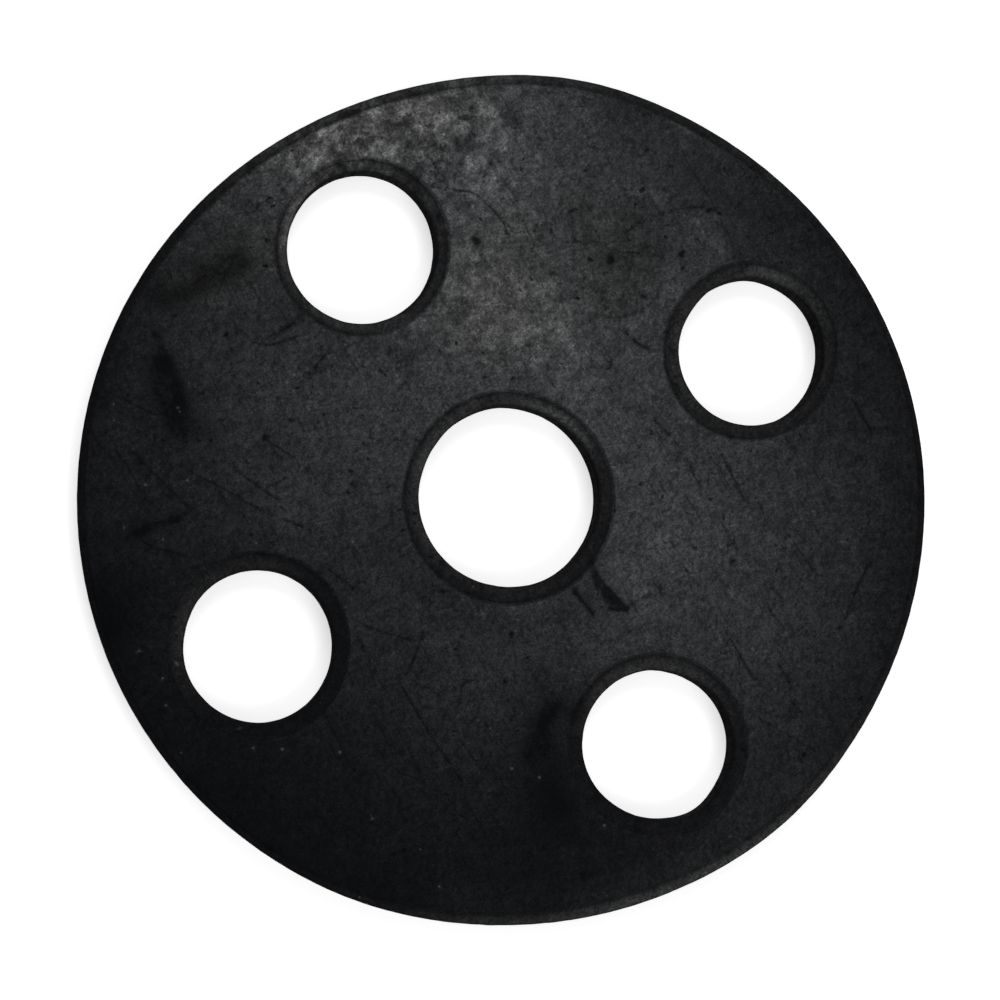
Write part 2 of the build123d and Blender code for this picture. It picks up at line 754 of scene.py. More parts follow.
@dataclass(frozen=True)
class NodeBench:
    """Lays out the nodes of a material or the world; most methods give back their last node's output."""

    tree: bpy.types.NodeTree

    def place(self, kind: str, **settings: object) -> bpy.types.Node:
        """Adds a node and sets its own settings.

        Args:
            kind: The node's type name, without its ShaderNode prefix.
            settings: Settings of the node by name.

        Returns:
            The new node.
        """
        node = self.tree.nodes.new("ShaderNode" + kind)
        for name, value in settings.items():
            setattr(node, name, value)
        return node

    def feed(self, node: bpy.types.Node, **values: object) -> None:
        """Links sockets to other nodes' outputs, or sets them to constants.

        Args:
            node: The node whose inputs they are.
            values: An output, number, vector or colour for each input, by its name with _ for a
                space, or by i and its number.
        """
        for name, value in values.items():
            key = int(name[1:]) if name[1:].isdigit() else name.replace("_", " ")
            if isinstance(value, Socket):
                self.tree.links.new(value, node.inputs[key])
            else:
                node.inputs[key].default_value = value

    def maths(self, operation: str, *values: Socket | float, clamp: bool = False) -> Socket:
        """A Math node.

        Args:
            operation: The operation's name.
            values: Its inputs in order, as outputs or numbers.
            clamp: Whether the result stays between 0 and 1.

        Returns:
            The node's output.
        """
        node = self.place("Math", operation=operation, use_clamp=clamp)
        self.feed(node, **{f"i{index}": value for index, value in enumerate(values)})
        return node.outputs[0]

    def eased(self, value: Socket, low: float, high: float, start: float = 0.0, end: float = 1.0) -> Socket:
        """A smooth Map Range from low and high to start and end.

        Args:
            value: The output to map.
            low: Value that maps to start.
            high: Value that maps to end.
            start: Result at low.
            end: Result at high.

        Returns:
            The node's output.
        """
        node = self.place("MapRange", interpolation_type="SMOOTHSTEP")
        self.feed(node, Value=value, From_Min=low, From_Max=high, To_Min=start, To_Max=end)
        return node.outputs[0]

    def attribute(self, wear: Wear) -> Socket:
        """How much of a kind of wear the mesh carries."""
        return self.place("Attribute", attribute_name=wear.value).outputs["Fac"]

    def millimetres(self) -> Socket:
        """Object coordinates in millimetres.

        Returns:
            The node's output.
        """
        node = self.place("VectorMath", operation="SCALE")
        self.feed(node, i0=self.place("TexCoord").outputs["Object"], Scale=1.0 / METRES)
        return node.outputs[0]

    def turned(self, place: Socket, angle_deg: float, stretch: float) -> Socket:
        """Coordinates turned in the plane and squeezed along their new X, so patterns run along it.

        Args:
            place: The coordinates.
            angle_deg: The way the pattern runs.
            stretch: How many times longer the pattern is along it.

        Returns:
            The node's output.
        """
        node = self.place("Mapping", vector_type="TEXTURE")
        turn = (0.0, 0.0, math.radians(angle_deg))
        self.feed(node, Vector=place, Rotation=turn, Scale=(stretch, 1.0, 1.0))
        return node.outputs[0]

    def noise(self, place: Socket, ripple: Ripple) -> Socket:
        """The value of a Noise Texture, about a half, on coordinates in millimetres.

        Args:
            place: The coordinates.
            ripple: The noise's own numbers.

        Returns:
            The node's output.
        """
        node = self.place("TexNoise", noise_dimensions="3D")
        self.feed(node, Vector=place, Scale=ripple.per_mm, Detail=ripple.detail)
        self.feed(node, Roughness=ripple.rough, Distortion=ripple.warp)
        return node.outputs[0]

    def about_zero(self, place: Socket, ripple: Ripple) -> Socket:
        """A noise less a half, so that it lies about 0."""
        return self.maths("SUBTRACT", self.noise(place, ripple), 0.5)

    def warped(self, place: Socket, per_mm: float, reach: float) -> Socket:
        """Coordinates moved by twice the reach times a noise colour, so that outlines get uneven.

        Args:
            place: The coordinates, in millimetres.
            per_mm: Cells of the noise in a millimetre.
            reach: Greatest move from the middle of them, in millimetres.

        Returns:
            The node's output.
        """
        noise = self.place("TexNoise", noise_dimensions="3D")
        self.feed(noise, Vector=place, Scale=per_mm)
        node = self.place("VectorMath", operation="MULTIPLY_ADD")
        self.feed(node, i0=noise.outputs["Color"], i1=(2.0 * reach, 2.0 * reach, 0.0), i2=place)
        return node.outputs[0]

    def dots(self, place: Socket, dots: Dots) -> Socket:
        """Scattered round dots, from the cells of a Voronoi Texture that draw a high enough number.

        A dot's radius is the cell's second number times the largest radius, a quarter of which is
        the width of the soft edge.

        Args:
            place: The coordinates, in millimetres.
            dots: The dots' own numbers.

        Returns:
            1 in a dot and 0 outside it.
        """
        node = self.place("TexVoronoi", feature="F1", voronoi_dimensions="3D")
        self.feed(node, Vector=place, Scale=dots.per_mm)
        split = self.place("SeparateColor")
        self.feed(split, i0=node.outputs["Color"])
        chosen = self.maths("GREATER_THAN", split.outputs[0], 1.0 - dots.share)
        size = self.maths("MULTIPLY", split.outputs[1], dots.radius)
        inside = self.maths("SUBTRACT", size, node.outputs["Distance"])
        inside = self.eased(inside, 0.0, 0.25 * dots.radius)
        return self.maths("MULTIPLY", chosen, inside)

    def seen_directly(self) -> Socket:
        """1 for camera, glossy and glass rays, and 0 for the rays that light what they leave.

        Returns:
            The node's output.
        """
        path = self.place("LightPath")
        seen = self.maths("MAXIMUM", path.outputs["Is Camera Ray"], path.outputs["Is Glossy Ray"])
        return self.maths("MAXIMUM", seen, path.outputs["Is Transmission Ray"])

    def blend(self, factor: Socket, low: Socket | Colour, high: Socket | Colour) -> Socket:
        """A colour between two colours.

        Args:
            factor: 0 for low and 1 for high.
            low: The first colour.
            high: The second colour.

        Returns:
            The mixed colour.
        """
        node = self.place("Mix", data_type="RGBA")
        self.feed(node, i0=factor, i6=low, i7=high)
        return node.outputs[2]

    def bumped(self, height: Socket, strength: float, depth: float) -> Socket:
        """A normal that a height pattern tilts.

        Args:
            height: The pattern.
            strength: How much of the tilt shows.
            depth: Height of 1 in the pattern, in millimetres.

        Returns:
            The node's output.
        """
        node = self.place("Bump")
        self.feed(node, Strength=strength, Distance=depth * METRES, Height=height)
        return node.outputs[0]


def bare_material(name: str) -> tuple[bpy.types.Material, NodeBench, bpy.types.Node]:
    """A new material, its bench and its Principled node.

    Args:
        name: The material's name.

    Returns:
        The three of them.
    """
    material = bpy.data.materials.new(name)
    material.use_nodes = True
    return material, NodeBench(material.node_tree), material.node_tree.nodes["Principled BSDF"]


@dataclass(frozen=True)
class WornRubber:
    """Black sheet rubber, dulled by a pale bloom that in places also carries painted sheen, highlight and
    shade, with grime, fibrous scuffs, specks and hairlines.
    """

    black: Colour = (0.0009, 0.0011, 0.0016, 1.0)
    cool_bloom_and_sheen: Colour = (0.286, 0.295, 0.325, 1.0)
    pale_bloom_and_sheen: Colour = (0.302, 0.305, 0.298, 1.0)
    chalk: Colour = (0.30, 0.31, 0.30, 1.0)
    full_bloom: float = 3.0
    neutral_from: float = 0.1
    neutral_at: float = 0.7
    specular: float = 0.022
    roughness: float = 0.52
    bloom_roughness: float = 0.20
    mottle_roughness: float = 0.25
    grime_hides: float = 0.86
    chalk_shows: float = 0.16
    speck_shows: float = 0.08
    bump_strength: float = 0.6
    bump_depth: float = 0.015
    grain: Ripple = Ripple(5.5, 2.0, 0.6)
    clumps: Ripple = Ripple(0.5, 6.0, 0.68, 0.3)
    mottle: Ripple = Ripple(1.7, 3.0, 0.6, 0.4)
    cloud: Ripple = Ripple(0.09, 3.0, 0.5)
    streaks: Ripple = Ripple(1.3, 2.0, 0.5, 0.2)
    gaps: Ripple = Ripple(1.1, 3.0, 0.6)
    dark_hairs: Hairs = Hairs(0.30, 0.012, 7.0)
    pale_hairs: Hairs = Hairs(0.80, 0.022, 21.0)
    chips: Dots = Dots(1.1, 0.30, 0.26)
    specks: Dots = Dots(0.8, 0.10, 0.11)
    # The noise that makes the chips' outlines uneven: cells in a millimetre, and reach
    chip_warp: tuple[float, float] = (1.5, 0.5)
    fibre_stretch: float = 3.2
    fibre_gain: float = 1.4
    streak_deg: float = -46.0
    streak_stretch: float = 9.0
    # Between which values of their noise streaks and hairlines come in, smears of dirt appear, and
    # a scratch goes from faint to strong, with how strong it is at both ends
    streak_span: Span = (0.60, 0.72)
    hair_span: Span = (0.50, 0.62)
    smear_span: Span = (0.10, 0.95)
    gap_span: Span = (0.36, 0.56)
    gap_ends: Span = (0.5, 1.15)
    # How strongly patterns show in the smears' outlines, in the bumps and in the bloom
    ragged_mottle: float = 1.5
    ragged_fibres: float = 0.6
    fibre_bumps: float = 0.4
    hair_bumps: float = -0.5
    grain_swing: float = 2.35
    clump_swing: float = 4.5
    clump_contrast: float = 0.30

    # Ways that the fibres run, in degrees, with their cells in a millimetre
    FIBRE_RUNS: ClassVar[tuple[tuple[float, float], ...]] = (
        (24.0, 3.0), (-46.0, 3.4), (97.0, 2.6), (61.0, 3.1),
    )
    # How strongly the other patterns swing the bloom up, or down where the number is negative
    SWINGS: ClassVar[dict[Pattern, float]] = {
        Pattern.FIBRES: 1.0, Pattern.MOTTLE: 1.2, Pattern.CLOUD: 1.0, Pattern.DARK_HAIRS: -1.0,
        Pattern.PALE_HAIRS: 0.6, Pattern.STREAKS: -0.35, Pattern.CHIPS: -1.1,
    }

    def fibres(self, bench: NodeBench, place: Socket) -> Socket:
        """Short fine fibres: the sum of stretched noises that run different ways, times the gain.

        Args:
            bench: The node layout.
            place: Coordinates in millimetres.

        Returns:
            A number about 0, from some -1 to 1.
        """
        total = None
        for angle, per_mm in self.FIBRE_RUNS:
            along = bench.turned(place, angle, self.fibre_stretch)
            layer = bench.about_zero(along, Ripple(per_mm, 2.0, 0.6, 0.5))
            total = layer if total is None else bench.maths("ADD", total, layer)
        return bench.maths("MULTIPLY", total, self.fibre_gain)

    def hairlines(self, bench: NodeBench, place: Socket, hairs: Hairs) -> Socket:
        """Thin broken curved lines, where a warped noise crosses a half and a mask lets them show.

        The mask is a second noise, with 0.6 times the first one's cells in a millimetre plus 0.1.

        Args:
            bench: The node layout.
            place: Coordinates in millimetres.
            hairs: The lines' own numbers.

        Returns:
            1 on a line and 0 off it.
        """
        moved = bench.place("VectorMath", operation="ADD")
        bench.feed(moved, i0=place, i1=(0.0, 0.0, hairs.shift))
        moved = moved.outputs[0]
        off = bench.maths("ABSOLUTE", bench.about_zero(moved, Ripple(hairs.per_mm, 1.5, 0.5, 0.8)))
        line = bench.eased(off, 0.0, hairs.width, 1.0, 0.0)
        mask = bench.noise(moved, Ripple(0.6 * hairs.per_mm + 0.1, 2.0, 0.6))
        return bench.maths("MULTIPLY", line, bench.eased(mask, *self.hair_span))

    def patterns(self, bench: NodeBench, place: Socket) -> dict[Pattern, Socket]:
        """The fine patterns: noises about 0, and lines, dots and streaks from 0 to 1.

        Args:
            bench: The node layout.
            place: Coordinates in millimetres.

        Returns:
            One output for each pattern.
        """
        streaked = bench.noise(bench.turned(place, self.streak_deg, self.streak_stretch), self.streaks)
        return {
            Pattern.GRAIN: bench.about_zero(place, self.grain),
            Pattern.FIBRES: self.fibres(bench, place),
            Pattern.CLUMPS: bench.about_zero(place, self.clumps),
            Pattern.MOTTLE: bench.about_zero(place, self.mottle),
            Pattern.CLOUD: bench.about_zero(place, self.cloud),
            Pattern.DARK_HAIRS: self.hairlines(bench, place, self.dark_hairs),
            Pattern.PALE_HAIRS: self.hairlines(bench, place, self.pale_hairs),
            Pattern.CHIPS: bench.dots(bench.warped(place, *self.chip_warp), self.chips),
            Pattern.STREAKS: bench.eased(streaked, *self.streak_span),
        }

    def swing(self, bench: NodeBench, layers: dict[Pattern, Socket]) -> Socket:
        """How far the patterns swing the bloom: the sum of each pattern times its weight.

        The clumps' weight is the clump swing times (the clump contrast plus the fleck).

        Args:
            bench: The node layout.
            layers: The patterns.

        Returns:
            A number about 0, which e is raised to.
        """
        contrast = bench.maths("ADD", self.clump_contrast, bench.attribute(Wear.FLECK))
        swing = bench.maths("MULTIPLY", layers[Pattern.GRAIN], self.grain_swing)
        for pattern, weight in self.SWINGS.items():
            swing = bench.maths("MULTIPLY_ADD", layers[pattern], weight, swing)
        contrast = bench.maths("MULTIPLY", contrast, self.clump_swing)
        return bench.maths("MULTIPLY_ADD", layers[Pattern.CLUMPS], contrast, swing)

    def grime(self, bench: NodeBench, place: Socket, layers: dict[Pattern, Socket]) -> Socket:
        """How much dirt lies on the bloom: the greater of smears and scratches.

        A smear is the grime plus some of the mottle and of the fibres, eased over its span.  A
        scratch is the groove times an eased noise, which breaks its line.

        Args:
            bench: The node layout.
            place: Coordinates in millimetres.
            layers: The patterns.

        Returns:
            A number from 0 to about 1.
        """
        ragged = bench.maths("MULTIPLY", layers[Pattern.FIBRES], self.ragged_fibres)
        ragged = bench.maths("MULTIPLY_ADD", layers[Pattern.MOTTLE], self.ragged_mottle, ragged)
        smear = bench.maths("ADD", ragged, bench.attribute(Wear.GRIME))
        smear = bench.eased(smear, *self.smear_span)
        broken = bench.eased(bench.noise(place, self.gaps), *self.gap_span, *self.gap_ends)
        line = bench.maths("MULTIPLY", bench.attribute(Wear.GROOVE), broken)
        return bench.maths("MAXIMUM", smear, line)

    def make(self) -> bpy.types.Material:
        """The material: black rubber, the bloom's veil over it, and chalk on top.

        The veil's share is the bloom over the full bloom, times e to the swing, times what the
        grime leaves, so the veil also shows the painted sheen, highlight and shade that the bloom
        attribute holds.  Its colour goes from cool to neutral with the bloom or the warmth.  The
        roughness grows with the bloom and the mottle, and fibres, grain and dark hairs are bumps.
        Chalk and small specks lie on top, each by its own share.

        Returns:
            The new material.
        """
        material, bench, shader = bare_material("worn_black_rubber")
        place = bench.millimetres()
        layers = self.patterns(bench, place)
        bloom_and_sheen = bench.attribute(Wear.BLOOM)
        hidden = bench.maths("MULTIPLY", self.grime(bench, place, layers), self.grime_hides)
        kept = bench.maths("SUBTRACT", 1.0, hidden, clamp=True)
        amount = bench.maths("MULTIPLY", bloom_and_sheen, 1.0 / self.full_bloom)
        amount = bench.maths("MULTIPLY", amount, bench.maths("EXPONENT", self.swing(bench, layers)))
        amount = bench.maths("MULTIPLY", amount, kept, clamp=True)
        neutral = bench.eased(bloom_and_sheen, self.neutral_from, self.neutral_at)
        neutral = bench.maths("MAXIMUM", neutral, bench.attribute(Wear.WARMTH))
        veil = bench.blend(neutral, self.cool_bloom_and_sheen, self.pale_bloom_and_sheen)
        colour = bench.blend(amount, self.black, veil)
        specks = bench.maths("MULTIPLY", bench.dots(place, self.specks), self.speck_shows)
        pale = bench.maths("MULTIPLY_ADD", bench.attribute(Wear.CHALK), self.chalk_shows, specks)
        colour = bench.blend(bench.maths("MINIMUM", pale, 1.0), colour, self.chalk)
        rough = bench.maths("MULTIPLY_ADD", bloom_and_sheen, self.bloom_roughness, self.roughness)
        rough = bench.maths("MULTIPLY_ADD", layers[Pattern.MOTTLE], self.mottle_roughness, rough)
        height = bench.maths("MULTIPLY_ADD", layers[Pattern.FIBRES], self.fibre_bumps, layers[Pattern.GRAIN])
        height = bench.maths("MULTIPLY_ADD", layers[Pattern.DARK_HAIRS], self.hair_bumps, height)
        normal = bench.bumped(height, self.bump_strength, self.bump_depth)
        bench.feed(shader, Base_Color=colour, Roughness=rough, Normal=normal)
        bench.feed(shader, Specular_IOR_Level=self.specular)
        return material


@dataclass(frozen=True)
class CutRubber:
    """Fresh black rubber on the die-cut walls, with fine streaks from face to face."""

    dark: Colour = (0.0066, 0.0069, 0.0074, 1.0)
    light: Colour = (0.0210, 0.0215, 0.0222, 1.0)
    specular: float = 0.0
    roughness: float = 0.8
    grain_roughness: float = 0.1
    grain_share: float = 0.3
    streak_stretch: float = 7.0
    colour_span: Span = (0.42, 0.90)
    streaks: Ripple = Ripple(2.4, 4.0, 0.65)
    grain: Ripple = Ripple(6.0, 2.0)
    bump_strength: float = 0.7
    bump_depth: float = 0.03

    def make(self) -> bpy.types.Material:
        """The material: streaks plus a share of grain give both the bumps and the blend of colours.

        Returns:
            The new material.
        """
        material, bench, shader = bare_material("cut_black_rubber")
        place = bench.millimetres()
        upright = bench.place("Mapping", vector_type="TEXTURE")
        bench.feed(upright, Vector=place, Scale=(1.0, 1.0, self.streak_stretch))
        streaks = bench.noise(upright.outputs[0], self.streaks)
        grain = bench.noise(place, self.grain)
        height = bench.maths("MULTIPLY_ADD", grain, self.grain_share, streaks)
        colour = bench.blend(bench.eased(height, *self.colour_span), self.dark, self.light)
        rough = bench.maths("MULTIPLY_ADD", grain, self.grain_roughness, self.roughness)
        normal = bench.bumped(height, self.bump_strength, self.bump_depth)
        bench.feed(shader, Base_Color=colour, Roughness=rough, Normal=normal)
        bench.feed(shader, Specular_IOR_Level=self.specular)
        return material


@dataclass(frozen=True)
class PaleFloor:
    """A plain pale floor that shows white where nothing shades it, and keeps soft shadows."""

    colour: Colour = (0.8, 0.8, 0.8, 1.0)
    lift: float = 0.55

    def make(self) -> bpy.types.Material:
        """A diffuse surface, plus an even glow of the lift that only camera, glossy and glass rays see.

        Returns:
            The new material.
        """
        material, bench, shader = bare_material("pale_floor")
        material.node_tree.nodes.remove(shader)
        diffuse = bench.place("BsdfDiffuse")
        bench.feed(diffuse, Color=self.colour)
        glow = bench.place("Emission")
        bench.feed(glow, Strength=bench.maths("MULTIPLY", bench.seen_directly(), self.lift))
        both = bench.place("AddShader")
        bench.feed(both, i0=diffuse.outputs[0], i1=glow.outputs[0])
        bench.feed(material.node_tree.nodes["Material Output"], Surface=both.outputs[0])
        return material


@dataclass
class Gasket:
    """The one-piece gasket: a disc of sheet with a bore and a circle of bolt holes."""

    outside_radius: float
    thickness: float
    bore_radius: float
    bolt_circle_radius: float
    bolt_hole_radius: float
    bolt_hole_count: int
    face: FrontFace
    worn_finish: WornRubber
    cut_finish: CutRubber
    first_hole_deg: float = 45.0
    # How much smaller than the solid the plain rim is, because its swells bow it outwards
    rim_inset: float = 0.05
    hole_ledge: float = 1.1
    rim_ledge: float = 0.25
    rim_stations: int = 720
    bore_stations: int = 180
    hole_stations: int = 150
    first_edge_seed: int = 3
    front_spacing: float = 0.39
    front_seed: int = 21
    back_spacing: float = 1.6
    back_seed: int = 22
    # How far the evenly spread points stay from a border, in spacings
    border_gap: float = 0.5
    # The cell in which marks keep one point, how far those stay from a border, and the cell round
    # them that has no evenly spread point
    mark_cell: float = 0.07
    mark_margin: float = 0.08
    mark_gap: float = 0.12
    back_bloom: float = 0.12
    wall_bloom: float = 0.02
    edge_warmth: float = 0.7
    # How deep the painted shade on the side of an edge turned from the main lamps reaches, in corner rounds
    painted_shade_depth: float = 1.1
    # Heights between which the face's wear comes in, in thicknesses
    face_span: Span = (0.5, 0.8)
    relief_power: int = 3

    def edges(self) -> list[CutEdge]:
        """The cut edges: rim, bore and bolt holes, which stand evenly on the bolt circle.

        Returns:
            One edge for each, the rim first.
        """
        middle = (0.0, 0.0)
        rim_radius = self.outside_radius - self.rim_inset
        rows = [
            (middle, rim_radius, Side.INSIDE, self.rim_stations, self.rim_ledge, RIM),
            (middle, self.bore_radius, Side.OUTSIDE, self.bore_stations, self.hole_ledge, BORE),
        ]
        for index in range(self.bolt_hole_count):
            angle = math.radians(self.first_hole_deg + 360.0 * index / self.bolt_hole_count)
            centre = (self.bolt_circle_radius * math.cos(angle), self.bolt_circle_radius * math.sin(angle))
            hole = (self.bolt_hole_radius, Side.OUTSIDE, self.hole_stations, self.hole_ledge, HOLES[index])
            rows.append((centre, *hole))
        seeds = range(self.first_edge_seed, self.first_edge_seed + len(rows))
        return [CutEdge(*row, self.thickness, seed) for row, seed in zip(rows, seeds)]

    @staticmethod
    def web_clearance(edges: Sequence[CutEdge], places: Array, front: bool) -> Array:
        """How far places are inside a face's plain web: the least clearance from any cut edge."""
        return np.min([edge.clearance(places, front) for edge in edges], axis=0)

    def web(
        self, edges: Sequence[CutEdge], borders: Sequence[Array], inner: Array, front: bool
    ) -> Array:
        """Triangles that fill a face between its cut edges.

        They are the Delaunay triangles of the border points and inner points, kept where their
        middle is inside the web.  A triangle is turned over where the cross product of its first
        two sides points down.

        Args:
            edges: The cut edges.
            borders: Each edge's border points.
            inner: Points between the borders.
            front: Whether the face is the front one.

        Returns:
            Three indices a row, into the borders and then the inner points, anticlockwise.
        """
        places = np.vstack((*borders, inner))
        runs: list[tuple[int, int]] = []
        first = 0
        for border in borders:
            index = np.arange(len(border))
            runs += np.column_stack((first + index, first + (index + 1) % len(border))).tolist()
            first += len(border)
        corners = [Vector(place) for place in places.tolist()]
        _, _, faces, sources, _, _ = delaunay_2d_cdt(corners, runs, [], WHOLE_HULL, WELD, True)
        source = np.array([origin[0] for origin in sources])
        triangles = source[np.array(faces)]
        points = places[triangles]
        side_a, side_b = points[:, 1] - points[:, 0], points[:, 2] - points[:, 0]
        upward = side_a[:, 0] * side_b[:, 1] - side_a[:, 1] * side_b[:, 0] > 0.0
        triangles[~upward] = triangles[~upward][:, ::-1]
        return triangles[self.web_clearance(edges, points.mean(axis=1), front) > 0.0]

    def front_points(self, edges: Sequence[CutEdge]) -> Array:
        """Inner points of the front face: close together on marks, evenly spread elsewhere.

        Args:
            edges: The cut edges.

        Returns:
            An array of points, one a row.
        """
        marks = one_to_a_cell(self.face.mesh_points(), self.mark_cell)
        marks = marks[self.web_clearance(edges, marks, True) > self.mark_margin]
        spread = honeycomb(self.outside_radius, self.front_spacing, self.front_seed)
        spread = spread[self.web_clearance(edges, spread, True) > self.border_gap * self.front_spacing]
        return np.vstack((marks, clear_of(spread, marks, self.mark_gap)))

    def back_points(self, edges: Sequence[CutEdge]) -> Array:
        """Inner points of the back face, evenly spread."""
        spread = honeycomb(self.outside_radius, self.back_spacing, self.back_seed)
        return spread[self.web_clearance(edges, spread, False) > self.border_gap * self.back_spacing]

    def wear_of(self, edges: Sequence[CutEdge], places: Array) -> dict[Wear, Array]:
        """The wear attributes of every mesh point: the face's own, then the cut edges' over it.

        The face's wear fades out from the front down the wall, and the back has its own even
        bloom.  On a cut edge the bloom is the sum of the face's, the wall's, the lip's and the
        crease's, each times its share in the row, and the lip's and crease's are painted highlight in
        part on the sides that face the lamps.  On the side turned away from the main lamps it goes
        over to the wall's on the rows no deeper than the corner's round, as painted shade.  The
        warmth grows with what isn't face.

        Args:
            edges: The cut edges, in the order of their grids.
            places: Every mesh point, the grids first, one a row.

        Returns:
            One array for each kind of wear.
        """
        low, high = (share * self.thickness for share in self.face_span)
        front = smoothstep(low, high, places[:, 2])
        wear = {kind: self.face.worn(places[:, :2], kind) * front for kind in Wear}
        wear[Wear.BLOOM] += self.back_bloom * (1.0 - front)
        first = 0
        for edge in edges:
            section = edge.section()
            part = slice(first, first + len(section.depth) * edge.stations)
            bloom_and_sheen = wear[Wear.BLOOM][part].reshape(-1, edge.stations) * section.face[:, None]
            bloom_and_sheen = bloom_and_sheen + section.wall[:, None] * self.wall_bloom
            # Lip and crease bloom: pale dust in part, painted highlight in part on the sides that face the
            # lamps
            bloom_and_sheen = bloom_and_sheen + section.lip[:, None] * edge.look.lip.at(edge.angles)
            bloom_and_sheen = bloom_and_sheen + section.crease[:, None] * edge.look.crease.at(edge.angles)
            # Painted shade: on the side turned away from the main lamps the outer rows drop to the wall's
            # bloom, so the corner looks as dark as the wall
            outer = (section.wall + section.lip) * (section.depth < self.painted_shade_depth * edge.corner_round)
            painted_shade = np.clip(outer[:, None] * Shades(0.0, edge.look.painted_shade_swells).at(edge.angles), 0.0, 1.0)
            wear[Wear.BLOOM][part] = (bloom_and_sheen + (self.wall_bloom - bloom_and_sheen) * painted_shade).ravel()
            wear[Wear.WARMTH][part] += self.edge_warmth * np.repeat(1.0 - section.face, edge.stations)
            first = part.stop
        return wear

    def build(self) -> bpy.types.Object:
        """Builds the closed mesh, gives it its wear and its finish, and puts it on the frame.

        The mesh is every edge's grid, and a web of triangles on each face between the grids' last
        or first rows.  The relief moves a point up by its height times (z over thickness) cubed.

        Returns:
            The gasket's object.
        """
        edges = self.edges()
        grids = [edge.grid() for edge in edges]
        quads, front_borders, back_borders, front_index, back_index = [], [], [], [], []
        first = 0
        for edge, grid in zip(edges, grids):
            quads.append(edge.quads(first))
            back_borders.append(grid[0, :, :2])
            front_borders.append(grid[-1, :, :2])
            back_index.append(first + np.arange(edge.stations))
            front_index.append(first + (grid.shape[0] - 1) * edge.stations + np.arange(edge.stations))
            first += grid.shape[0] * edge.stations
        rings = np.vstack([grid.reshape(-1, 3) for grid in grids])
        front, back = self.front_points(edges), self.back_points(edges)
        front_index = np.concatenate((*front_index, first + np.arange(len(front))))
        back_index = np.concatenate((*back_index, first + len(front) + np.arange(len(back))))
        front_faces = front_index[self.web(edges, front_borders, front, True)]
        back_faces = back_index[self.web(edges, back_borders, back, False)][:, ::-1]
        front = np.column_stack((front, np.full(len(front), self.thickness)))
        back = np.column_stack((back, np.zeros(len(back))))
        points = np.vstack((rings, front, back))
        points[:, 2] += self.face.relief(points[:, :2]) * (points[:, 2] / self.thickness) ** self.relief_power
        mesh = bpy.data.meshes.new("gasket_rubber")
        faces = np.vstack(quads).tolist() + front_faces.tolist() + back_faces.tolist()
        mesh.from_pydata((points * METRES).tolist(), [], faces)
        mesh.validate()
        mesh.polygons.foreach_set("use_smooth", np.ones(len(mesh.polygons), dtype=bool))
        on_wall = np.concatenate([edge.on_wall() for edge in edges])
        material = np.zeros(len(mesh.polygons), dtype=np.int32)
        material[: len(on_wall)] = on_wall
        mesh.polygons.foreach_set("material_index", material)
        for kind, amount in self.wear_of(edges, points).items():
            layer = mesh.attributes.new(kind.value, "FLOAT", "POINT")
            layer.data.foreach_set("value", amount.astype(np.float32))
        mesh.materials.append(self.worn_finish.make())
        mesh.materials.append(self.cut_finish.make())
        gasket = into_scene("gasket_rubber", mesh)
        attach(gasket, "root")
        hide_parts(NODE)
        triangles = 2 * sum(len(part) for part in quads) + len(front_faces) + len(back_faces)
        LOG.info("gasket_rubber: %d points, %d triangles", len(points), triangles)
        return gasket


@dataclass(frozen=True)
class Lamp:
    """A square soft lamp that faces the middle of the gasket."""

    name: str
    around_deg: float
    above_deg: float
    watts: float
    distance: float = 650.0
    width: float = 450.0

    def light(self) -> bpy.types.Object:
        """Adds the lamp, turned towards the origin.

        Its heading is (cos above cos around, cos above sin around, sin above).

        Returns:
            The lamp's object.
        """
        data = bpy.data.lights.new(self.name, "AREA")
        data.shape = "SQUARE"
        data.size = self.width * METRES
        data.energy = self.watts
        lamp = into_scene(self.name, data)
        around, above = math.radians(self.around_deg), math.radians(self.above_deg)
        flat = math.cos(above)
        heading = Vector((flat * math.cos(around), flat * math.sin(around), math.sin(above)))
        lamp.location = heading * self.distance * METRES
        lamp.rotation_euler = heading.to_track_quat("Z", "Y").to_euler()
        return lamp


